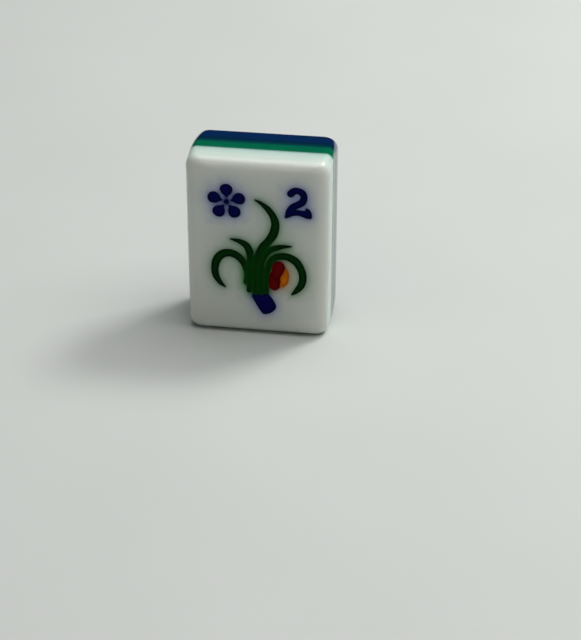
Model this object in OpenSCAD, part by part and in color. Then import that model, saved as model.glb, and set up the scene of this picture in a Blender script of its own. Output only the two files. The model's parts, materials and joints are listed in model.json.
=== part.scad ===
// Upright flower tile of a table game, laminated from white, green and blue plastic sheets.
// The origin is at the centre of the base. +Z is up, +X is to the right across the engraved face,
// and the engraved face looks along -Y.

/* [Tile] */
// Height of the tile, from its base to its crown
tile_height = 30; // [27:0.5:34]
// Width across the engraved face
tile_width = 22.4; // [20:0.2:26]
// Depth of the white face sheet
face_depth = 4.85; // [3.6:0.05:6]
// Depth of the green middle sheet
core_depth = 3.1; // [2:0.1:5]
// Depth of the blue back sheet
back_depth = 4.55; // [3.6:0.05:6]
// Thickness of the clear cement film between two sheets
bond_film = 0.1; // [0.05:0.01:0.2]

/* [Rounding] */
// Radius of the four corners, seen from the front
corner_radius = 1.9; // [1.9:0.1:4]
// Radius of the edges where the front and the back meet the sides
edge_radius = 1.8; // [1:0.1:1.8]

/* [Engraving] */
// How far the whole figure stands to the right of the middle of the face
figure_shift = 0.2; // [0:0.1:0.5]
// Depth of the pockets cut into the face
pocket_depth = 0.6; // [0.4:0.05:1.2]
// How far the lacquer lies below the face
lacquer_sink = 0.15; // [0.05:0.01:0.3]
// Width of the ridge left standing between two pockets that meet
ridge_width = 0.08; // [0.05:0.01:0.15]

/* [Petal mark] */
// Number of petals of the mark at the upper left
mark_petals = 5; // [4:1:5]
// Tip radius of the mark
mark_radius = 3; // [2.4:0.1:3.2]
// Radius of the round centre of the mark
mark_centre_radius = 0.42; // [0.3:0.02:0.44]

/* [Hidden] */
$fn = 48;

// Sheets, from the front to the back
tile_depth = face_depth + core_depth + back_depth + 2 * bond_film;
face_front = -tile_depth / 2;
front_film_front = face_front + face_depth;
core_front = front_film_front + bond_film;
rear_film_front = core_front + core_depth;
back_front = rear_film_front + bond_film;
overrun = 1;

// Colours of the lacquers
blue_lacquer = "#131C5C";
green_lacquer = "#14572A";
red_lacquer = "#8E0F1C";
orange_lacquer = "#D88916";

// Curves: share of the way that a handle reaches, edges for each span, and the longest edge and the
// least number of edges of a round end
handle_share = 1 / 6;
span_edges = 5;
round_end_edge = 0.25;
round_end_edges_least = 3;

// Strokes of the picture. Each point holds its place across as a share of the tile's width from the
// middle of the figure, its place up as a share of the tile's height, and half the stroke's width as a
// share of the tile's width.
tall_leaf_shares = [
    [-0.020, 0.791, 0.003], [0.023, 0.774, 0.012], [0.070, 0.743, 0.020], [0.108, 0.700, 0.024],
    [0.122, 0.653, 0.028], [0.107, 0.601, 0.030], [0.074, 0.559, 0.028], [0.033, 0.521, 0.028],
    [0.002, 0.473, 0.025], [-0.016, 0.417, 0.020], [-0.022, 0.350, 0.019], [-0.020, 0.252, 0.019]
];
upper_left_leaf_shares = [
    [-0.194, 0.558, 0.003], [-0.155, 0.553, 0.012], [-0.115, 0.543, 0.020], [-0.080, 0.525, 0.024],
    [-0.060, 0.493, 0.026], [-0.056, 0.450, 0.022], [-0.058, 0.400, 0.019], [-0.061, 0.330, 0.018],
    [-0.063, 0.262, 0.018]
];
lower_left_leaf_shares = [
    [-0.236, 0.275, 0.005], [-0.271, 0.299, 0.016], [-0.301, 0.342, 0.023], [-0.305, 0.390, 0.026],
    [-0.288, 0.436, 0.029], [-0.252, 0.467, 0.029], [-0.203, 0.477, 0.028], [-0.154, 0.466, 0.027],
    [-0.115, 0.439, 0.024], [-0.092, 0.400, 0.019], [-0.082, 0.353, 0.013], [-0.089, 0.310, 0.015]
];
upper_right_leaf_shares = [
    [0.234, 0.537, 0.003], [0.188, 0.534, 0.012], [0.143, 0.526, 0.019], [0.098, 0.512, 0.021],
    [0.062, 0.490, 0.021], [0.038, 0.457, 0.020], [0.022, 0.413, 0.020], [0.018, 0.340, 0.021],
    [0.021, 0.252, 0.020]
];
lower_right_leaf_shares = [
    [0.239, 0.255, 0.005], [0.270, 0.278, 0.018], [0.302, 0.311, 0.024], [0.315, 0.353, 0.025],
    [0.305, 0.400, 0.026], [0.272, 0.445, 0.028], [0.227, 0.469, 0.028], [0.176, 0.476, 0.027],
    [0.127, 0.469, 0.024], [0.088, 0.443, 0.022], [0.069, 0.403, 0.021], [0.062, 0.370, 0.020],
    [0.056, 0.335, 0.017], [0.057, 0.257, 0.016]
];
upper_red_petal_shares = [[0.128, 0.362, 0.032], [0.138, 0.390, 0.041], [0.145, 0.412, 0.043]];
lower_red_petal_shares = [[0.118, 0.356, 0.036], [0.112, 0.327, 0.044], [0.114, 0.301, 0.037]];
orange_petal_shares = [
    [0.196, 0.399, 0.005], [0.197, 0.383, 0.016], [0.193, 0.363, 0.023], [0.183, 0.337, 0.029],
    [0.176, 0.318, 0.025], [0.173, 0.306, 0.016]
];
numeral_bowl_shares = [
    [0.229, 0.838, 0.025], [0.250, 0.853, 0.024], [0.279, 0.856, 0.023], [0.308, 0.844, 0.024],
    [0.319, 0.822, 0.023], [0.309, 0.796, 0.025], [0.281, 0.779, 0.024], [0.244, 0.762, 0.025],
    [0.220, 0.738, 0.023], [0.208, 0.716, 0.019], [0.195, 0.705, 0.009]
];
numeral_foot_shares = [
    [0.212, 0.717, 0.017], [0.242, 0.730, 0.021], [0.280, 0.733, 0.021], [0.312, 0.729, 0.023],
    [0.335, 0.728, 0.032], [0.348, 0.731, 0.042]
];
numeral_foot_bulge_share = 0.55;

// Outline of the root, as shares of the tile's width and height
root_shares = [
    [-0.040, 0.240], [-0.041, 0.222], [-0.017, 0.187], [0.012, 0.150], [0.036, 0.128], [0.068, 0.130],
    [0.105, 0.147], [0.125, 0.172], [0.112, 0.205], [0.077, 0.241], [0.040, 0.253], [-0.005, 0.255]
];

// Mark at the upper left: its centre as a share of the tile, and a petal's points as shares of its
// tip radius, with the place outwards first and half the width last
mark_place_shares = [-0.217, 0.770];
mark_petal_shares = [[0.32, 0.08], [0.48, 0.25], [0.67, 0.33]];

// A point a share t of the way from a to b
function mix(a, b, t) = a + (b - a) * t;

// A point on the curve that a list of control points steers
function bezier(p, t) =
    len(p) == 1 ? p[0] : bezier([for (i = [0 : len(p) - 2]) mix(p[i], p[i + 1], t)], t);

// Member i of a list, which wraps round on a closed curve and holds its ends on an open one
function pick(p, i, closed) = closed ? p[(i + len(p)) % len(p)] : p[min(max(i, 0), len(p) - 1)];

// A point on the smooth span from member i to the next one
function span_point(p, i, t, closed) =
    let (before = pick(p, i - 1, closed), from = p[i])
    let (to = pick(p, i + 1, closed), after = pick(p, i + 2, closed))
    let (leaving = mix(from, from + to - before, handle_share))
    let (arriving = mix(to, to + from - after, handle_share))
    bezier([from, leaving, arriving, to], t);

// A smooth curve through its points
function smooth(p, closed = false) = [
    for (i = [0 : len(p) - (closed ? 1 : 2)])
        for (edge = [0 : span_edges - 1])
            span_point(p, i, edge / span_edges, closed),
    if (!closed) p[len(p) - 1]
];

// Direction along a stroke at member i, and the direction to its left
function along(q, i) =
    let (run = pick(q, i + 1, false) - pick(q, i - 1, false), flat_run = [run.x, run.y])
    flat_run / norm(flat_run);
function leftward(q, i) = let (a = along(q, i)) [-a.y, a.x];

// A point beside member i of a stroke, on its left for side 1 and on its right for side -1
function beside(q, i, side, grow) = [q[i].x, q[i].y] + leftward(q, i) * (q[i].z + grow) * side;

// The round end of a stroke at member i: bulge_share is how far it stands out, as a share of half
// the width, and heading is 1 at the last member and -1 at the first
function round_end(q, i, heading, bulge_share, grow) =
    let (reach = q[i].z + grow)
    let (edges = max(round_end_edges_least, ceil(PI * reach / round_end_edge)))
    [for (edge = [1 : edges - 1])
        let (turn = 180 * edge / edges)
        [q[i].x, q[i].y]
            + leftward(q, i) * heading * cos(turn) * reach
            + along(q, i) * heading * sin(turn) * reach * bulge_share];

// Places of shares on the face
function on_face(share) = [share[0] * tile_width + figure_shift, share[1] * tile_height];
function stroke_on_face(shares) = [for (share = shares) concat(on_face(share), share[2] * tile_width)];

// Points of one petal of the mark, from its heel to its tip
mark_petal = [for (share = mark_petal_shares) [0, share[0] * mark_radius, share[1] * mark_radius]];

// A brush stroke of varying width along points that hold a place and half the width
module stroke(points, grow = 0, bulge_share = 1) {
    q = smooth(points);
    last = len(q) - 1;
    polygon(concat(
        [for (i = [0 : last]) beside(q, i, 1, grow)],
        round_end(q, last, 1, bulge_share, grow),
        [for (i = [last : -1 : 0]) beside(q, i, -1, grow)],
        round_end(q, 0, -1, 1, grow)
    ));
}

// Flat shapes of the picture. A shape that lies behind others stops a ridge short of them.
module tall_leaf(grow = 0) stroke(stroke_on_face(tall_leaf_shares), grow);

module upper_right_leaf_stroke(grow = 0) stroke(stroke_on_face(upper_right_leaf_shares), grow);

module lower_right_leaf_stroke(grow = 0) stroke(stroke_on_face(lower_right_leaf_shares), grow);

module upper_left_leaf_stroke(grow = 0) stroke(stroke_on_face(upper_left_leaf_shares), grow);

module upper_red_petal_stroke(grow = 0) stroke(stroke_on_face(upper_red_petal_shares), grow);

module lower_red_petal_stroke(grow = 0) stroke(stroke_on_face(lower_red_petal_shares), grow);

module upper_right_leaf() {
    difference() {
        upper_right_leaf_stroke();
        tall_leaf(ridge_width);
    }
}

module lower_right_leaf() {
    difference() {
        lower_right_leaf_stroke();
        tall_leaf(ridge_width);
        upper_right_leaf_stroke(ridge_width);
    }
}

module upper_left_leaf() {
    difference() {
        upper_left_leaf_stroke();
        tall_leaf(ridge_width);
    }
}

module lower_left_leaf() {
    difference() {
        stroke(stroke_on_face(lower_left_leaf_shares));
        tall_leaf(ridge_width);
        upper_left_leaf_stroke(ridge_width);
    }
}

module upper_red_petal() {
    difference() {
        upper_red_petal_stroke();
        lower_right_leaf_stroke(ridge_width);
    }
}

module lower_red_petal() {
    difference() {
        lower_red_petal_stroke();
        lower_right_leaf_stroke(ridge_width);
        upper_red_petal_stroke(ridge_width);
    }
}

module orange_petal() {
    difference() {
        stroke(stroke_on_face(orange_petal_shares));
        upper_red_petal_stroke(ridge_width);
        lower_red_petal_stroke(ridge_width);
    }
}

module root() {
    difference() {
        polygon(smooth([for (share = root_shares) on_face(share)], true));
        tall_leaf(ridge_width);
        upper_right_leaf_stroke(ridge_width);
        lower_right_leaf_stroke(ridge_width);
        upper_left_leaf_stroke(ridge_width);
    }
}

module numeral() {
    stroke(stroke_on_face(numeral_bowl_shares));
    stroke(stroke_on_face(numeral_foot_shares), bulge_share = numeral_foot_bulge_share);
}

module mark_petal_ring() {
    translate(on_face(mark_place_shares))
        for (petal = [0 : mark_petals - 1])
            rotate(360 * petal / mark_petals)
                stroke(mark_petal);
}

module mark_centre() {
    translate(on_face(mark_place_shares)) circle(r = mark_centre_radius);
}

// A flat shape drawn across and up, given depth from front towards the back
module sheet(front, depth) {
    translate([0, front + depth, 0])
        rotate([90, 0, 0])
            linear_extrude(depth)
                children();
}

// Outline of the tile, seen from the front
module tile_outline() {
    straight_width = tile_width - 2 * corner_radius;
    straight_height = tile_height - 2 * corner_radius;
    translate([-straight_width / 2, 0]) square([straight_width, tile_height]);
    translate([-tile_width / 2, corner_radius]) square([tile_width, straight_height]);
    for (side = [-1, 1])
        for (up = [corner_radius, tile_height - corner_radius])
            translate([side * straight_width / 2, up]) circle(r = corner_radius);
}

// Section through an outer sheet: its outer side is at zero and has round edges
module edged_section(span, depth) {
    translate([0, edge_radius]) square([span, depth - edge_radius]);
    translate([edge_radius, 0]) square([span - 2 * edge_radius, depth]);
    intersection() {
        square([span, depth]);
        for (place = [edge_radius, span - edge_radius])
            translate([place, edge_radius]) circle(r = edge_radius);
    }
}

// Half of that section through a round corner, on the corner's axis
module edged_half_section(depth) {
    square([corner_radius - edge_radius, depth]);
    translate([0, edge_radius]) square([corner_radius, depth - edge_radius]);
    intersection() {
        square([corner_radius, depth]);
        translate([corner_radius - edge_radius, edge_radius]) circle(r = edge_radius);
    }
}

// An outer sheet of the tile with its outer side at y = 0 and its body towards +Y
module edged_sheet(depth) {
    straight_width = tile_width - 2 * corner_radius;
    straight_height = tile_height - 2 * corner_radius;
    translate([-straight_width / 2, 0, tile_height])
        rotate([0, 90, 0])
            linear_extrude(straight_width)
                edged_section(tile_height, depth);
    translate([-tile_width / 2, 0, corner_radius])
        linear_extrude(straight_height)
            edged_section(tile_width, depth);
    for (side = [-1, 1])
        for (up = [corner_radius, tile_height - corner_radius])
            translate([side * straight_width / 2, 0, up])
                rotate([-90, 0, 0])
                    rotate_extrude()
                        edged_half_section(depth);
}

// Lacquer in a pocket of the face
module fill(paint) {
    color(paint)
        sheet(face_front + lacquer_sink, pocket_depth - lacquer_sink)
            children();
}

module pockets() {
    sheet(face_front - overrun, pocket_depth + overrun) {
        numeral();
        mark_petal_ring();
        mark_centre();
        tall_leaf();
        upper_left_leaf();
        lower_left_leaf();
        upper_right_leaf();
        lower_right_leaf();
        root();
        upper_red_petal();
        lower_red_petal();
        orange_petal();
    }
}

module face_block() {
    color("#E8EAE2")
        difference() {
            translate([0, face_front, 0]) edged_sheet(face_depth);
            pockets();
        }
}

module front_bond_film() {
    color("#B9DCCB") sheet(front_film_front, bond_film) tile_outline();
}

module core_block() {
    color("#0B7A56") sheet(core_front, core_depth) tile_outline();
}

module rear_bond_film() {
    color("#0A5A60") sheet(rear_film_front, bond_film) tile_outline();
}

module back_block() {
    color("#123A86")
        translate([0, back_front + back_depth, 0])
            mirror([0, 1, 0])
                edged_sheet(back_depth);
}

module numeral_fill() {
    fill(blue_lacquer) numeral();
}

module mark_petal_fills() {
    fill(blue_lacquer) mark_petal_ring();
}

module mark_centre_fill() {
    fill(blue_lacquer) mark_centre();
}

module tall_leaf_fill() {
    fill(green_lacquer) tall_leaf();
}

module upper_left_leaf_fill() {
    fill(green_lacquer) upper_left_leaf();
}

module lower_left_leaf_fill() {
    fill(green_lacquer) lower_left_leaf();
}

module upper_right_leaf_fill() {
    fill(green_lacquer) upper_right_leaf();
}

module lower_right_leaf_fill() {
    fill(green_lacquer) lower_right_leaf();
}

module root_fill() {
    fill(blue_lacquer) root();
}

module upper_red_petal_fill() {
    fill(red_lacquer) upper_red_petal();
}

module lower_red_petal_fill() {
    fill(red_lacquer) lower_red_petal();
}

module orange_petal_fill() {
    fill(orange_lacquer) orange_petal();
}

face_block();
front_bond_film();
core_block();
rear_bond_film();
back_block();
numeral_fill();
mark_petal_fills();
mark_centre_fill();
tall_leaf_fill();
upper_left_leaf_fill();
lower_left_leaf_fill();
upper_right_leaf_fill();
lower_right_leaf_fill();
root_fill();
upper_red_petal_fill();
lower_red_petal_fill();
orange_petal_fill();
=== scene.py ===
import json
import math

import bmesh
import bpy
import numpy as np
from mathutils import Matrix, Vector, geometry, noise


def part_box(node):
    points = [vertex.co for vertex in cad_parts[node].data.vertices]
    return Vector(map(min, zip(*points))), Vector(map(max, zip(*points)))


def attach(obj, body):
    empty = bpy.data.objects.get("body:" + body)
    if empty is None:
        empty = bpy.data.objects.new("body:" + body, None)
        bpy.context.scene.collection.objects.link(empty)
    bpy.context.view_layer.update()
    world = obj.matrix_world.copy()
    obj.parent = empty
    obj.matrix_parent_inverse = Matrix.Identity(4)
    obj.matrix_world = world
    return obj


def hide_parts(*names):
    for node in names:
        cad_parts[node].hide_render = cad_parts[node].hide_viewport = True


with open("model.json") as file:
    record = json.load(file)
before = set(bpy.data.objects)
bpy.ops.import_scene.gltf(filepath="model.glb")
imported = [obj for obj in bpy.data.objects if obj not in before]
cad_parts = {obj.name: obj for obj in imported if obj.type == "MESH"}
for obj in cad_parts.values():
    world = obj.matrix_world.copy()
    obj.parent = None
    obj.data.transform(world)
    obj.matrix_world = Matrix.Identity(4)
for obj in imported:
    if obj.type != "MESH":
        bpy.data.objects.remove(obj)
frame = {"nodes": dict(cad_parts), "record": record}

MM = 0.001
QUARTER_TURN = math.radians(90)
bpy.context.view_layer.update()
slots = {part["node"]: part["material_slot"] for part in frame["record"]["subparts"]}

# Sizes and places of the sheets and the lacquer in mm, as the frame tells them
face_low, face_high = (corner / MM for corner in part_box("face_block"))
core_low, core_high = (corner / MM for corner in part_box("core_block"))
back_low, back_high = (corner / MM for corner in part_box("back_block"))
fill_low, fill_high = (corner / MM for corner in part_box("tall_leaf_fill"))
WIDTH = face_high.x - face_low.x
HEIGHT = face_high.z - face_low.z
FACE_FRONT, FACE_SEAM = face_low.y, face_high.y
CORE_FRONT, CORE_REAR = core_low.y, core_high.y
BACK_SEAM, BACK_OUTER = back_low.y, back_high.y
LACQUER_LEVEL = fill_low.y
POCKET_FLOOR = fill_high.y

# Round forms of the tile in mm. A corner's radius also grows where the outline is drawn in, by a share of
# that. The flat panel of the face begins a margin inside the round edge, and the cement lies a little
# below the polished sides.
FACE_CORNER_RADIUS = 1.75
MIDDLE_CORNER_RADIUS = 1.15
BACK_CORNER_RADIUS = 1.95
CORNER_WIDENING_SHARE = 0.8
EDGE_RADIUS = 2.05
FLAT_MARGIN = 0.12
CEMENT_SINK = 0.012

# Engraving in mm: the round lip of a pocket, the low ridge between two pockets that meet, the rim where
# the lacquer climbs the wall of its pocket, and the waves that the brush leaves in it
LIP_RADIUS = 0.08
RIDGE_WIDTH = 0.08
RIDGE_FADE = 0.14
RIDGE_DROP = 0.075
RIM_RISE = 0.06
RIM_REACH = 0.09
LACQUER_WAVE = 0.014
LACQUER_WAVE_LENGTH = 1.1

# Mesh of the sheets: how many cuts a corner, a straight side, a round edge and a sheet's depth have, how
# near in mm two points count as one, and the angle from which an edge is drawn sharp
CORNER_STEPS = 18
STRAIGHT_STEPS = 16
EDGE_STEPS = 14
SIDE_STEPS = 5
WELD = 0.0005
SHARP_EDGE = math.radians(40)

# Mesh of the engraving in mm: the digits that a place from the frame keeps, the length of the outlines'
# edges and the turn that stays a sharp corner, rows of points beside the outlines, and the grid on the
# open face. A row keeps the points that are about as far from every outline as from their own, and
# points nearer than MERGE become one.
PLACE_DIGITS = 4
OUTLINE_STEP = 0.13
SHARP_TURN = math.radians(38)
OUTSIDE_STEPS = (0.011, 0.04, 0.08, 0.16, 0.3, 0.55, 0.95)
INSIDE_STEPS = (0.03, 0.07, 0.13, 0.22, 0.34, 0.5)
CLEAR_SHARE = 0.85
PANEL_GRID = 1.6
MERGE = 1e-6

# Stain of the lacquer in the white sheet: strength and reach in mm of the strong colour beside a pocket
# and of its weak tail, how much stronger it grows in a hollow, how far the brush's smear reaches between
# two pockets, and how far lacquer covers the lip in its dark wall colour, which also paints the shade at
# the pocket's edge
STAINS = ((0.6, 0.38), (0.06, 1.8))
HOLLOW_GAIN = 0.45
CROWDING_FADE = 0.9
SHADED_LIP_COVER = 0.16

# Colours of the sheets: two near tones that each one wanders between, and the cast of its neighbours as
# stops of a depth in mm and a colour. The cast begins at a depth of its own.
WHITE_TONES = ("#DCDED8", "#D9DBD5")
WHITE_CAST_START = FACE_FRONT + 0.5
WHITE_CAST = (
    (FACE_SEAM - 2.6, "#D3E2D7"),
    (FACE_SEAM - 1.1, "#C8DED4"),
    (FACE_SEAM - 0.5, "#BEE0D4"),
    (FACE_SEAM - 0.25, "#A6DAC8"),
    (FACE_SEAM, "#7AC0A8"),
)
GREEN_TONES = ("#026849", "#026346")
GREEN_CAST_START = BACK_SEAM - 1.7
GREEN_CAST = ((BACK_SEAM - 0.7, "#033B47"), (BACK_SEAM, "#022C40"))
BLUE_TONES = ("#052752", "#05244E")
BLUE_CAST_START = BACK_SEAM + 0.9
BLUE_CAST = ((BACK_SEAM, "#022742"),)
FRONT_CEMENT = "#6FB49B"
REAR_CEMENT = "#022A3A"

# Colours of each lacquer: dark at a wall, where it lies thick and where this colour also paints the shade
# of the groove's edge, thin and lighter in the middle, and smeared over the ridge between two pockets
LACQUERS = {
    "blue_lacquer": ("#020436", "#030850", "#030850"),
    "green_lacquer": ("#021804", "#033408", "#05460A"),
    "red_lacquer": ("#4A0002", "#680104", "#5A0103"),
    "orange_lacquer": ("#B45A06", "#D6740C", "#C0640A"),
}

# The stain that each lacquer leaves in the white sheet beside its pocket
WASHES = {
    "blue_lacquer": "#466AC2",
    "green_lacquer": "#1C8431",
    "red_lacquer": "#A04040",
    "orange_lacquer": "#CC9448",
}

# Marks on the surfaces, drawn with noise: the size of a mark in mm, the span of the noise, which lies
# around a half, over which it grows, and what it grows from and to. The brush's streaks run up the tile.
WHITE_PATCHES = (9.0, (0.4, 0.65), (0.0, 1.0))
COLOURED_PATCHES = (6.0, (0.4, 0.65), (0.0, 1.0))
CARD_PATCHES = (40.0, (0.35, 0.65), (0.0, 1.0))
SMUDGES = (7.0, (0.35, 0.7), (0.05, 0.1))
CEMENT_FLOW = (1.5, (0.3, 0.7), (0.06, 0.2))
LACQUER_FLOW = (1.2, (0.3, 0.7), (0.12, 0.26))
BRUSH_STREAKS = (0.35, (0.35, 0.65), (-0.1, 0.1))
STREAK_STRETCH = (1, 1, 3)

# Hairlines would not show at their real 0.02 mm, so they are drawn 0.07 mm wide and faint. They run three
# ways, each with its turn in the face and its length in widths.
HAIRLINES = (0.07, (0.68, 0.74), (0.0, 0.05))
HAIRLINE_RUNS = ((0.5, 60), (-0.9, 90), (1.3, 70))

# Bumps in mm: the waves of the buffing wheel and the marks of the brush, with how high each is drawn
BUFFING_WAVE, BUFFING_HEIGHT = 5.0, 0.004
BRUSH_MARK, BRUSH_HEIGHT = 0.5, 0.02

# A round edge is rubbed dull by handling. The largest part of its normal, which is 1 on a flat side,
# falls from FLAT to RUBBED while the surface goes from its polish to the full extra roughness.
FLAT, RUBBED = 0.97, 0.75
RUBBED_ROUGHNESS = 0.02

# Lacquer is dark and thick up to the first distance in mm from its wall, where the dark colour also paints
# the shade of the groove's edge, and thin from the second. Its highlight is weaker than the plastic's,
# whose own fades between two shares of cover by lacquer.
SHADED_DEEP_TO, THIN_FROM = 0.1, 0.5
BARE_TO, COVERED_FROM = 0.6, 0.95
ACRYLIC_SHEEN, LACQUER_SHEEN = 0.5, 0.02
ACRYLIC_IOR = 1.49

# The floor: a disc wide enough to reach the horizon in every view, with its radius in metres
FLOOR_RADIUS = 6.0
FLOOR_SIDES = 96
FLOOR_TONES = ("#CBCECA", "#CDD0CC")

# The photograph's camera: its place and aim in mm, its turn about the line of sight, its lens and the
# width of its sensor in mm, and how near and far it sees in metres
CAMERA_PLACE = (40.28, -250.93, 144.36)
CAMERA_AIM = (4.43, 0, -0.6)
CAMERA_TURN = math.radians(0.163)
CAMERA_LENS = 101.25
CAMERA_SENSOR = 36
CAMERA_NEAR, CAMERA_FAR = 0.01, 20

# Light: for each lamp the direction it comes from, its distance and side in metres, and how bright it is.
# A square lamp needs a power of LAMP_POWER times that and its area. The sky is brighter in front of the
# tile than behind it, and changes over a span of the direction's part from front to back.
WINDOW = ((0.46, 0.45, 0.77), 0.6, 0.15, 17.0)
OVERHEAD = ((0.3, 0.14, 1.0), 0.7, 0.8, 1.9)
LAMP_POWER = 4
SKY_SPAN = (-0.4, 0.4)
SKY_IN_FRONT, SKY_BEHIND = "#656865", "#1A1B1A"

# Sockets of the node that mixes two colours
MIX_SHARE, MIX_FIRST, MIX_SECOND, MIX_RESULT = 0, 6, 7, 2


def linear(hex_colour):
    """An sRGB hex colour as the linear colour that Blender's sockets hold."""
    shares = [int(hex_colour[i : i + 2], 16) / 255 for i in (1, 3, 5)]
    return [s / 12.92 if s <= 0.04045 else ((s + 0.055) / 1.055) ** 2.4 for s in shares] + [1.0]


def linear_rows(hex_colours):
    """The linear red, green and blue of some colours, as rows of an array."""
    return np.array([linear(hex_colour)[:3] for hex_colour in hex_colours])


def make_piece(name, points, faces, **layers):
    """A closed mesh object from points in mm and faces, smooth but for its sharp edges. A layer holds four
    values for each point."""
    mesh = bmesh.new()
    marks = [(mesh.verts.layers.float_color.new(layer), values) for layer, values in layers.items()]
    corners = [mesh.verts.new(Vector(point) * MM) for point in points]
    for layer, values in marks:
        for corner, value in zip(corners, values):
            corner[layer] = value
    for face in faces:
        mesh.faces.new([corners[i] for i in face])
    bmesh.ops.remove_doubles(mesh, verts=mesh.verts, dist=WELD * MM)
    bmesh.ops.dissolve_degenerate(mesh, edges=mesh.edges, dist=WELD * MM)
    bmesh.ops.recalc_face_normals(mesh, faces=mesh.faces)
    data = bpy.data.meshes.new(name)
    mesh.to_mesh(data)
    mesh.free()
    data.shade_smooth()
    data.set_sharp_from_angle(angle=SHARP_EDGE)
    piece = bpy.data.objects.new(name, data)
    bpy.context.scene.collection.objects.link(piece)
    return piece


def corner_radius(depth):
    """Corner radius at a depth of the tile: tumbling wears the corners most towards face and back."""
    end = FACE_CORNER_RADIUS if depth < 0 else BACK_CORNER_RADIUS
    share = min(abs(depth) / (BACK_OUTER - EDGE_RADIUS), 1)
    return MIDDLE_CORNER_RADIUS + share**2 * (end - MIDDLE_CORNER_RADIUS)


def tile_outline(depth, inset):
    """The tile's outline at a depth, drawn in by inset: points across and up, anticlockwise."""
    radius = corner_radius(depth) + CORNER_WIDENING_SHARE * inset
    reach_x, reach_z = WIDTH / 2 - inset, HEIGHT / 2 - inset
    points = []
    for quarter, (side, rise) in enumerate(((1, 1), (-1, 1), (-1, -1), (1, -1))):
        across, up = side * (reach_x - radius), HEIGHT / 2 + rise * (reach_z - radius)
        for step in range(CORNER_STEPS + 1):
            turn = QUARTER_TURN * (quarter + step / CORNER_STEPS)
            points.append((across + radius * math.cos(turn), up + radius * math.sin(turn)))
        run = 2 * ((reach_z if side * rise < 0 else reach_x) - radius) / STRAIGHT_STEPS
        x, z = points[-1]
        for step in range(1, STRAIGHT_STEPS):
            points.append((x - step * run * math.sin(turn), z + step * run * math.cos(turn)))
    return points


def loft(rings, caps):
    """Points and faces of a sheet lofted through rings, each a depth and an inset. caps closes its first
    and last ring where it says so."""
    points = [(x, depth, z) for depth, inset in rings for x, z in tile_outline(depth, inset)]
    count = len(points) // len(rings)
    faces = []
    for ring in range(len(rings) - 1):
        for i in range(count):
            after = (i + 1) % count
            near, far = ring * count, (ring + 1) * count
            faces.append((near + i, near + after, far + after, far + i))
    if caps[0]:
        faces.append(tuple(range(count)))
    if caps[1]:
        faces.append(tuple(range(len(points) - count, len(points))))
    return points, faces


def side_rings(first, last, inset=0.0):
    """Rings of equal inset from one depth to another."""
    return [(first + (last - first) * step / SIDE_STEPS, inset) for step in range(SIDE_STEPS + 1)]


def rounded_rings(outer, seam):
    """Rings from a sheet's round outer edge to its seam."""
    inward = 1 if seam > outer else -1
    turns = [QUARTER_TURN * (1 - step / EDGE_STEPS) for step in range(EDGE_STEPS + 1)]
    rounding = [
        (outer + inward * EDGE_RADIUS * (1 - math.sin(turn)), EDGE_RADIUS * (1 - math.cos(turn)))
        for turn in turns
    ]
    sides = side_rings(outer + inward * EDGE_RADIUS, seam)
    return [(outer, EDGE_RADIUS + FLAT_MARGIN), *rounding[:-1], *sides]


def closed_pairs(points):
    """Each point of a closed outline with the next one."""
    return list(zip(points, points[1:] + points[:1]))


def front_outlines(node):
    """Outlines of the front of a fill, as closed lists of points across and up the face, in mm."""
    mesh = frame["nodes"][node].data
    places = [tuple(round(c / MM, PLACE_DIGITS) for c in vertex.co) for vertex in mesh.vertices]
    front = min(place[1] for place in places)
    edges = set()
    for polygon in mesh.polygons:
        corners = [places[i] for i in polygon.vertices]
        if all(abs(corner[1] - front) < WELD for corner in corners):
            edges.update(closed_pairs([(x, z) for x, _, z in corners]))
    following = {a: b for a, b in sorted(edges) if (b, a) not in edges}
    outlines = []
    while following:
        start, point = following.popitem()
        outline = [start]
        while point != start:
            outline.append(point)
            point = following.pop(point)
        outlines.append(finer([Vector(place) for place in outline]))
    return outlines


def finer(outline):
    """An outline with its edges cut into short ones on a smooth curve, and its sharp corners kept."""
    count = len(outline)
    runs = [outline[(i + 1) % count] - outline[i] for i in range(count)]
    sharp = [runs[i - 1].angle(runs[i]) > SHARP_TURN for i in range(count)]
    slopes = [(runs[i - 1] + runs[i]) / (runs[i - 1].length + runs[i].length) for i in range(count)]
    points = []
    for i, run in enumerate(runs):
        after = (i + 1) % count
        leaving = run if sharp[i] else slopes[i] * run.length
        arriving = run if sharp[after] else slopes[after] * run.length
        cuts = max(1, round(run.length / OUTLINE_STEP))
        for cut in range(cuts):
            t = cut / cuts
            points.append(
                outline[i] * (2 * t**3 - 3 * t**2 + 1)
                + outline[after] * (3 * t**2 - 2 * t**3)
                + leaving * (t**3 - 2 * t**2 + t)
                + arriving * (t**3 - t**2)
            )
    return np.array([point[:] for point in points])


def beside(outline, distance):
    """Points beside an outline, outside it for a distance above zero, and fewer as it grows."""
    run = np.roll(outline, -1, 0) - np.roll(outline, 1, 0)
    run /= np.linalg.norm(run, axis=1)[:, None]
    outward = np.stack([run[:, 1], -run[:, 0]], 1)
    every = max(1, round(abs(distance) / OUTLINE_STEP))
    return (outline + outward * distance)[::every]


def distance_to(points, outline):
    """Distance of each point from a closed outline."""
    run = np.roll(outline, -1, 0) - outline
    offset = points[:, None] - outline[None]
    share = np.clip((offset * run).sum(2) / (run**2).sum(1), 0, 1)
    return np.linalg.norm(offset - share[..., None] * run, axis=2).min(1)


def distances_to(points, outlines):
    """Distance of each point from each outline."""
    return np.stack([distance_to(points, outline) for outline in outlines], 1)


def stain_from(outline, points):
    """How much the lacquer in an outline stains each point: each bit of its edge adds to the stain, and
    most of all where it is near, so that a hollow gets more than an outer side."""
    runs = np.linalg.norm(np.roll(outline, -1, 0) - outline, axis=1)
    away = np.linalg.norm(points[:, None] - outline[None], axis=2)
    return sum(
        strength * (np.exp(-away / reach) * runs).sum(1) / (2 * reach) for strength, reach in STAINS
    )


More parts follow.
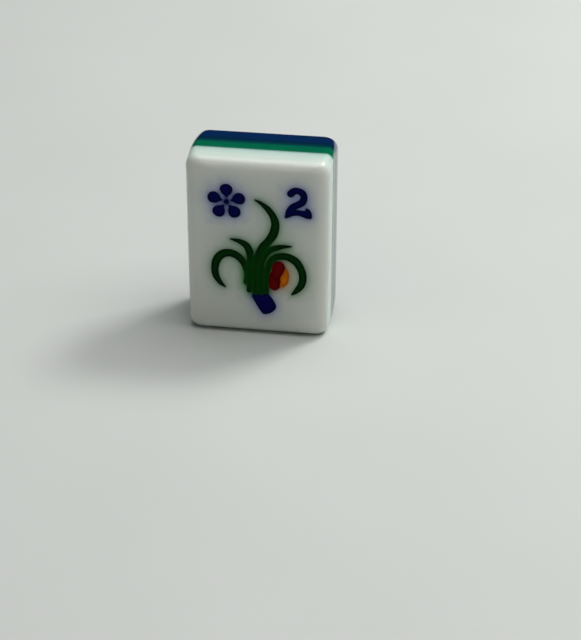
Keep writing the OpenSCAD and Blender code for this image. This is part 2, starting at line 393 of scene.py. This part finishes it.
class Engraving:
    """The engraved panel of the face as triangles, with the distance of each point from each pocket."""

    def __init__(self, nodes):
        self.nodes, self.outlines = [], []
        for node in nodes:
            for outline in front_outlines(node):
                self.nodes.append(node)
                self.outlines.append(outline)
        border = np.array(tile_outline(FACE_FRONT, EDGE_RADIUS + FLAT_MARGIN))
        loops = [border, *self.outlines]
        starts = np.cumsum([0] + [len(loop) for loop in loops])
        rows = [list(range(a, b)) for a, b in zip(starts, starts[1:])]
        places = [Vector(place) for place in np.concatenate([*loops, self.support_points(border)])]
        made = geometry.delaunay_2d_cdt(places, [], rows, 0, MERGE, True)
        merged_places, _, triangles, _, _, loops_around = made
        self.places = np.array([place[:] for place in merged_places])
        self.distances = distances_to(self.places, self.outlines)
        self.panel, self.pockets = [], [[] for _ in self.outlines]
        for corners, around in zip(triangles, loops_around):
            pockets = [loop - 1 for loop in around if loop > 0]
            if pockets:
                self.pockets[pockets[0]].append(corners)
            elif around:
                self.panel.append(corners)

    def support_points(self, border):
        """Points between the outlines: rows beside each one and a grid over the rest of the panel."""
        kept = []
        for step in (*OUTSIDE_STEPS, *(-step for step in INSIDE_STEPS)):
            row = np.concatenate([beside(outline, step) for outline in self.outlines])
            clear = distances_to(row, self.outlines).min(1) > CLEAR_SHARE * abs(step)
            kept.append(row[clear])
        reach_x, reach_z = WIDTH / 2 - EDGE_RADIUS, HEIGHT / 2 - EDGE_RADIUS
        across = np.arange(-reach_x + PANEL_GRID / 2, reach_x, PANEL_GRID)
        up = HEIGHT / 2 + np.arange(-reach_z + PANEL_GRID / 2, reach_z, PANEL_GRID)
        grid = np.stack(np.meshgrid(across, up), -1).reshape(-1, 2)
        kept.append(grid[distances_to(grid, self.outlines).min(1) > OUTSIDE_STEPS[-1]])
        points = np.concatenate(kept)
        return points[distance_to(points, border) > FLAT_MARGIN]

    def nearness(self, fade=RIDGE_FADE):
        """How near each point is to a ridge between two pockets that meet, from 0 to 1."""
        first, second = np.sort(self.distances, 1)[:, :2].T
        return np.clip(1 - (first + second - RIDGE_WIDTH) / fade, 0, 1)

    def face_depths(self):
        """Depth of the face at each point, with its round lips and low ridges."""
        reach = np.clip(1 - self.distances.min(1) / LIP_RADIUS, 0, 1)
        lip = LIP_RADIUS * (1 - np.sqrt(1 - reach**2))
        return FACE_FRONT + lip + RIDGE_DROP * self.nearness()

    def lacquer_depths(self, pocket):
        """Depth of the lacquer at each point of a pocket: it climbs the wall and is a little uneven."""
        rim = np.exp(-self.distances[:, pocket] / RIM_REACH) * (1 - self.nearness())
        spots = [Vector((x, z, pocket * math.pi)) / LACQUER_WAVE_LENGTH for x, z in self.places]
        waves = np.array([noise.noise(spot) for spot in spots])
        calm = np.clip(self.distances[:, pocket] / RIM_REACH, 0, 1)
        return LACQUER_LEVEL - RIM_RISE * rim + LACQUER_WAVE * waves * calm


def edges_of(triangles):
    """The border of some triangles, as directed edges."""
    edges = {edge for corners in triangles for edge in closed_pairs(list(corners))}
    return sorted(edge for edge in edges if edge[::-1] not in edges)


def soaked_stain(engraving, places, washes):
    """The stain that has soaked into the sheet at each place: its linear colours, and the shares of the
    white that they cover."""
    stains = np.stack([stain_from(outline, places) for outline in engraving.outlines], 1)
    total = stains.sum(1)
    return stains @ washes / total[:, None], 1 - np.exp(-total * (1 + HOLLOW_GAIN * total))


def panel_stain(engraving, washes, deep_and_shaded, smeared):
    """The stain of the engraved panel: what has soaked in, the brush's smear between two pockets, and the
    lacquer that covers the round lips in its dark wall colour, which also paints the shade at the pocket's
    edge."""
    colours, covers = soaked_stain(engraving, engraving.places, washes)
    nearest = engraving.distances.argmin(1)
    crowding = engraving.nearness(CROWDING_FADE)
    colours += crowding[:, None] * (smeared[nearest] - colours)
    covers = np.maximum(covers, 1 - (1 - crowding) ** 2)
    # The lips take the lacquer's dark wall colour: lacquer on the lip, and painted shade at the pocket's
    # edge.
    lips = np.clip(1 - engraving.distances.min(1) / SHADED_LIP_COVER, 0, 1) * (1 - crowding)
    colours += lips[:, None] * (deep_and_shaded[nearest] - colours)
    return colours, np.maximum(covers, lips)


def face_sheet(engraving):
    """The white sheet with its engraved pockets, and in a layer the stain that the lacquers leave in it."""
    washes = linear_rows(WASHES[slots[node]] for node in engraving.nodes)
    shades = [LACQUERS[slots[node]] for node in engraving.nodes]
    # The lacquers' dark wall colours, which also paint the shade at the pocket's edge, and their smeared
    # colours
    deep_and_shaded, _, smeared = (linear_rows(colours) for colours in zip(*shades))
    points, faces = loft(rounded_rings(FACE_FRONT, FACE_SEAM), caps=(False, True))
    sides = np.array([(x, z) for x, _, z in points])
    side_stains = np.column_stack(soaked_stain(engraving, sides, washes)).tolist()
    panel_stains = np.column_stack(panel_stain(engraving, washes, deep_and_shaded, smeared)).tolist()
    stains = side_stains + panel_stains + panel_stains
    top = len(points)
    points += [(x, y, z) for (x, z), y in zip(engraving.places, engraving.face_depths())]
    floor = len(points)
    points += [(x, POCKET_FLOOR, z) for x, z in engraving.places]
    faces += [tuple(top + i for i in corners) for corners in engraving.panel]
    for triangles in engraving.pockets:
        faces += [tuple(floor + i for i in corners) for corners in triangles]
        faces += [(top + a, top + b, floor + b, floor + a) for a, b in edges_of(triangles)]
    used = sorted({i for face in faces for i in face})
    place = {old: new for new, old in enumerate(used)}
    return make_piece(
        "white_face_sheet",
        [points[i] for i in used],
        [tuple(place[i] for i in face) for face in faces],
        stain=[stains[i] for i in used],
    )


def lacquer(engraving, node, name):
    """The lacquer in the pockets of one node, closed all round. Its wall layer holds the distance from the
    pocket's wall in mm, and how near the ridge to the next pocket is."""
    points, faces, walls = [], [], []
    crowding = engraving.nearness(CROWDING_FADE)
    for pocket, owner in enumerate(engraving.nodes):
        if owner != node:
            continue
        triangles = engraving.pockets[pocket]
        used = sorted({i for corners in triangles for i in corners})
        top = {old: len(points) + new for new, old in enumerate(used)}
        depths = engraving.lacquer_depths(pocket)
        points += [(engraving.places[i][0], depths[i], engraving.places[i][1]) for i in used]
        floor = {old: len(points) + new for new, old in enumerate(used)}
        points += [(engraving.places[i][0], POCKET_FLOOR, engraving.places[i][1]) for i in used]
        faces += [tuple(top[i] for i in corners) for corners in triangles]
        faces += [tuple(floor[i] for i in reversed(corners)) for corners in triangles]
        faces += [(top[b], top[a], floor[a], floor[b]) for a, b in edges_of(triangles)]
        walls += 2 * [(engraving.distances[i, pocket], crowding[i], 0, 0) for i in used]
    return make_piece(name, points, faces, wall=walls)


def cement_film(name, first, last):
    """The cement between two sheets, a little below their polished sides."""
    return make_piece(name, *loft(side_rings(first, last, CEMENT_SINK), caps=(True, True)))


def core_sheet():
    """The green sheet in the middle."""
    return make_piece("green_core_sheet", *loft(side_rings(CORE_FRONT, CORE_REAR), caps=(True, True)))


def back_sheet():
    """The blue sheet, round at its rear edge."""
    return make_piece("blue_back_sheet", *loft(rounded_rings(BACK_OUTER, BACK_SEAM), caps=(True, True)))


def add(tree, kind, inputs=None, **settings):
    """A shader node with its settings. inputs holds for a socket its value, its hex colour, or the socket
    that feeds it."""
    made = tree.nodes.new(kind)
    for name, value in settings.items():
        setattr(made, name, value)
    for socket, value in (inputs or {}).items():
        if isinstance(value, bpy.types.NodeSocket):
            tree.links.new(value, made.inputs[socket])
        else:
            made.inputs[socket].default_value = linear(value) if isinstance(value, str) else value
    return made


def start(name):
    """A new material and its node tree, with nothing in it."""
    material = bpy.data.materials.new(name)
    material.use_nodes = True
    material.node_tree.nodes.clear()
    return material, material.node_tree


def surfaced(material, inputs):
    """The material with its surface, whose shader takes some inputs."""
    tree = material.node_tree
    shader = add(tree, "ShaderNodeBsdfPrincipled", inputs)
    add(tree, "ShaderNodeOutputMaterial", {"Surface": shader.outputs[0]})
    return material


def pattern(tree, size, detail=2.0, stretch=(1, 1, 1), turn=0.0):
    """Noise with marks of a size in mm, stretched along its own axes after a turn in the face."""
    place = add(tree, "ShaderNodeTexCoord").outputs["Object"]
    scale = [1 / (size * MM * share) for share in stretch]
    inputs = {"Vector": place, "Rotation": (0, turn, 0), "Scale": scale}
    turned = add(tree, "ShaderNodeMapping", inputs).outputs[0]
    inputs = {"Vector": turned, "Scale": 1.0, "Detail": detail}
    return add(tree, "ShaderNodeTexNoise", inputs).outputs[0]


def uneven(tree, size, span, ends, **form):
    """A value that goes from the first of two ends to the second over the marks of a pattern."""
    inputs = {"Value": pattern(tree, size, **form)}
    inputs.update({"From Min": span[0], "From Max": span[1], "To Min": ends[0], "To Max": ends[1]})
    return add(tree, "ShaderNodeMapRange", inputs).outputs[0]


def mottled(tree, patches, tones):
    """A colour that wanders between two tones in patches."""
    mix = {MIX_SHARE: uneven(tree, *patches), MIX_FIRST: tones[0], MIX_SECOND: tones[1]}
    return add(tree, "ShaderNodeMix", mix, data_type="RGBA").outputs[MIX_RESULT]


def through_depth(tree, body, first, stops):
    """A colour that is body up to a first depth in mm, and then changes through stops of a depth and a
    colour."""
    place = add(tree, "ShaderNodeTexCoord").outputs["Object"]
    depth = add(tree, "ShaderNodeSeparateXYZ", {0: place}).outputs["Y"]
    for last, hex_colour in stops:
        inputs = {"Value": depth, "From Min": first * MM, "From Max": last * MM}
        share = add(tree, "ShaderNodeMapRange", inputs, interpolation_type="SMOOTHSTEP").outputs[0]
        mix = {MIX_SHARE: share, MIX_FIRST: body, MIX_SECOND: hex_colour}
        body = add(tree, "ShaderNodeMix", mix, data_type="RGBA").outputs[MIX_RESULT]
        first = last
    return body


def polished_roughness(tree):
    """Buffed plastic: glossy, with smudges of handling, hairlines and duller rubbed edges."""
    roughness = uneven(tree, *SMUDGES)
    for turn, length in HAIRLINE_RUNS:
        hairlines = uneven(tree, *HAIRLINES, detail=0.0, stretch=(length, 1, 1), turn=turn)
        roughness = add(tree, "ShaderNodeMath", {0: roughness, 1: hairlines}).outputs[0]
    normal = add(tree, "ShaderNodeTexCoord").outputs["Normal"]
    steep = add(tree, "ShaderNodeVectorMath", {0: normal}, operation="ABSOLUTE").outputs[0]
    across, along, up = add(tree, "ShaderNodeSeparateXYZ", {0: steep}).outputs
    level = add(tree, "ShaderNodeMath", {0: across, 1: along}, operation="MAXIMUM").outputs[0]
    level = add(tree, "ShaderNodeMath", {0: level, 1: up}, operation="MAXIMUM").outputs[0]
    inputs = {"Value": level, "From Min": FLAT, "From Max": RUBBED, "To Max": RUBBED_ROUGHNESS}
    rubbed = add(tree, "ShaderNodeMapRange", inputs).outputs[0]
    return add(tree, "ShaderNodeMath", {0: roughness, 1: rubbed}).outputs[0]


def polished_bump(tree):
    """The slow and shallow waviness that a buffing wheel leaves."""
    waves = pattern(tree, BUFFING_WAVE, detail=1.0)
    inputs = {"Height": waves, "Distance": BUFFING_HEIGHT * MM, "Strength": 1.0}
    return add(tree, "ShaderNodeBump", inputs).outputs[0]


def white_cast_acrylic():
    """Opal cast acrylic, buffed: milky and glossy. It takes some green from the sheet behind, and beside
    the engraving the stain and the thin cover of the lacquers."""
    material, tree = start("white_cast_acrylic")
    body = mottled(tree, WHITE_PATCHES, WHITE_TONES)
    body = through_depth(tree, body, WHITE_CAST_START, WHITE_CAST)
    stain = add(tree, "ShaderNodeAttribute", attribute_name="stain").outputs
    mix = {MIX_SHARE: stain["Alpha"], MIX_FIRST: body, MIX_SECOND: stain["Color"]}
    sheen = {"Value": stain["Alpha"], "From Min": BARE_TO, "From Max": COVERED_FROM}
    sheen.update({"To Min": ACRYLIC_SHEEN, "To Max": LACQUER_SHEEN})
    inputs = {
        "Base Color": add(tree, "ShaderNodeMix", mix, data_type="RGBA").outputs[MIX_RESULT],
        "Specular IOR Level": add(tree, "ShaderNodeMapRange", sheen).outputs[0],
        "Roughness": polished_roughness(tree),
        "IOR": ACRYLIC_IOR,
        "Subsurface Weight": 0.7,
        "Subsurface Radius": (1.0, 1.0, 0.9),
        "Subsurface Scale": 3.2 * MM,
        "Normal": polished_bump(tree),
    }
    return surfaced(material, inputs)


def green_cast_acrylic():
    """Translucent green cast acrylic, buffed: dark green, and teal where the blue sheet shows through."""
    material, tree = start("green_cast_acrylic")
    body = mottled(tree, COLOURED_PATCHES, GREEN_TONES)
    inputs = {
        "Base Color": through_depth(tree, body, GREEN_CAST_START, GREEN_CAST),
        "Roughness": polished_roughness(tree),
        "IOR": ACRYLIC_IOR,
        "Subsurface Weight": 0.15,
        "Subsurface Radius": (0.2, 1.0, 0.5),
        "Subsurface Scale": 0.5 * MM,
        "Normal": polished_bump(tree),
    }
    return surfaced(material, inputs)


def blue_cast_acrylic():
    """Cobalt blue cast acrylic, buffed: darkest beside the seam, where the green sheet shows through."""
    material, tree = start("blue_cast_acrylic")
    body = mottled(tree, COLOURED_PATCHES, BLUE_TONES)
    inputs = {
        "Base Color": through_depth(tree, body, BLUE_CAST_START, BLUE_CAST),
        "Roughness": polished_roughness(tree),
        "IOR": ACRYLIC_IOR,
        "Normal": polished_bump(tree),
    }
    return surfaced(material, inputs)


def clear_cement(name, hex_colour):
    """Clear acrylic cement: a glassy line that takes the colour of the sheets on both sides."""
    material, tree = start(name)
    inputs = {
        "Base Color": hex_colour,
        "Roughness": uneven(tree, *CEMENT_FLOW),
        "IOR": ACRYLIC_IOR,
        "Transmission Weight": 0.35,
    }
    return surfaced(material, inputs)


def brushed_lacquer(name, deep_and_shaded, thin, smeared):
    """Glossy lacquer laid in with a brush: dark and thick at the wall of its pocket, where the dark colour
    also paints the shade of the groove's edge, thinner and lighter in the middle, and thinnest where the
    brush went over the ridge to the next pocket."""
    material, tree = start(name)
    wall = add(tree, "ShaderNodeAttribute", attribute_name="wall").outputs["Vector"]
    distance, crowding, _ = add(tree, "ShaderNodeSeparateXYZ", {0: wall}).outputs
    streaks = uneven(tree, *BRUSH_STREAKS, stretch=STREAK_STRETCH)
    streaked = add(tree, "ShaderNodeMath", {0: distance, 1: streaks}).outputs[0]
    # Dark wall colour to thin middle: the dark colour is thick lacquer and also painted shade at the
    # groove's edge.
    inputs = {"Value": streaked, "From Min": SHADED_DEEP_TO, "From Max": THIN_FROM}
    share = add(tree, "ShaderNodeMapRange", inputs).outputs[0]
    mix = {MIX_SHARE: share, MIX_FIRST: deep_and_shaded, MIX_SECOND: thin}
    body = add(tree, "ShaderNodeMix", mix, data_type="RGBA").outputs[MIX_RESULT]
    mix = {MIX_SHARE: crowding, MIX_FIRST: body, MIX_SECOND: smeared}
    marks = pattern(tree, BRUSH_MARK, detail=3.0)
    bump = {"Height": marks, "Distance": BRUSH_HEIGHT * MM, "Strength": 1.0}
    inputs = {
        "Base Color": add(tree, "ShaderNodeMix", mix, data_type="RGBA").outputs[MIX_RESULT],
        "Roughness": uneven(tree, *LACQUER_FLOW),
        "IOR": 1.52,
        "Specular IOR Level": LACQUER_SHEEN,
        "Normal": add(tree, "ShaderNodeBump", bump).outputs[0],
    }
    return surfaced(material, inputs)


def pale_card():
    """Pale matt card, a little uneven in tone."""
    material, tree = start("pale_card")
    tone = mottled(tree, CARD_PATCHES, FLOOR_TONES)
    return surfaced(material, {"Base Color": tone, "Roughness": 0.7, "IOR": 1.45})


def make_floor():
    """The floor that the tile stands on, which stays out of the export."""
    mesh = bmesh.new()
    bmesh.ops.create_circle(mesh, cap_ends=True, segments=FLOOR_SIDES, radius=FLOOR_RADIUS)
    data = bpy.data.meshes.new("floor")
    mesh.to_mesh(data)
    mesh.free()
    floor = bpy.data.objects.new("floor", data)
    bpy.context.scene.collection.objects.link(floor)
    data.materials.append(pale_card())


def make_camera():
    """The camera that sees the tile as the photograph does."""
    data = bpy.data.cameras.new("photograph")
    data.lens = CAMERA_LENS
    data.sensor_width = CAMERA_SENSOR
    data.clip_start, data.clip_end = CAMERA_NEAR, CAMERA_FAR
    camera = bpy.data.objects.new("photograph", data)
    bpy.context.scene.collection.objects.link(camera)
    place, aim = Vector(CAMERA_PLACE) * MM, Vector(CAMERA_AIM) * MM
    turn = (aim - place).to_track_quat("-Z", "Y").to_matrix() @ Matrix.Rotation(CAMERA_TURN, 3, "Z")
    camera.matrix_world = Matrix.Translation(place) @ turn.to_4x4()
    bpy.context.scene.camera = camera


def softbox(name, direction, distance, size, brightness):
    """A square lamp that looks at the tile."""
    data = bpy.data.lights.new(name, "AREA")
    data.shape = "SQUARE"
    data.size = size
    data.energy = brightness * LAMP_POWER * size**2
    lamp = bpy.data.objects.new(name, data)
    bpy.context.scene.collection.objects.link(lamp)
    target = Vector((0, 0, HEIGHT / 2)) * MM
    lamp.location = target + Vector(direction).normalized() * distance
    lamp.rotation_euler = (target - lamp.location).to_track_quat("-Z", "Y").to_euler()


def make_light():
    """A window behind the tile, a large soft light above it, and a dim room around it."""
    softbox("window", *WINDOW)
    softbox("overhead", *OVERHEAD)
    world = bpy.data.worlds.new("studio")
    bpy.context.scene.world = world
    world.use_nodes = True
    tree = world.node_tree
    tree.nodes.clear()
    direction = add(tree, "ShaderNodeTexCoord").outputs["Generated"]
    towards_back = add(tree, "ShaderNodeSeparateXYZ", {0: direction}).outputs["Y"]
    inputs = {"Value": towards_back, "From Min": SKY_SPAN[0], "From Max": SKY_SPAN[1]}
    share = add(tree, "ShaderNodeMapRange", inputs).outputs[0]
    mix = {MIX_SHARE: share, MIX_FIRST: SKY_IN_FRONT, MIX_SECOND: SKY_BEHIND}
    colour = add(tree, "ShaderNodeMix", mix, data_type="RGBA").outputs[MIX_RESULT]
    sky = add(tree, "ShaderNodeBackground", {"Color": colour, "Strength": 1.0})
    add(tree, "ShaderNodeOutputWorld", {"Surface": sky.outputs[0]})


def dress(piece, node, material):
    """Gives a piece its material, its body and the node whose place it takes."""
    piece.data.materials.append(material)
    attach(piece, "root")
    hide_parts(node)


def make_tile():
    """The engraved white sheet, the cement and the sheets behind it, and the lacquer in each pocket."""
    fills = [node for node in slots if slots[node] in LACQUERS]
    engraving = Engraving(fills)
    dress(face_sheet(engraving), "face_block", white_cast_acrylic())
    front_film = cement_film("front_cement_film", FACE_SEAM, CORE_FRONT)
    dress(front_film, "front_bond_film", clear_cement("clear_cement_front", FRONT_CEMENT))
    dress(core_sheet(), "core_block", green_cast_acrylic())
    rear_film = cement_film("rear_cement_film", CORE_REAR, BACK_SEAM)
    dress(rear_film, "rear_bond_film", clear_cement("clear_cement_rear", REAR_CEMENT))
    dress(back_sheet(), "back_block", blue_cast_acrylic())
    paints = {name: brushed_lacquer(name, *shades) for name, shades in LACQUERS.items()}
    for node in fills:
        piece = lacquer(engraving, node, node.replace("fill", "lacquer"))
        dress(piece, node, paints[slots[node]])


bpy.context.scene.view_settings.view_transform = "Standard"
make_camera()
make_light()
make_floor()
make_tile()
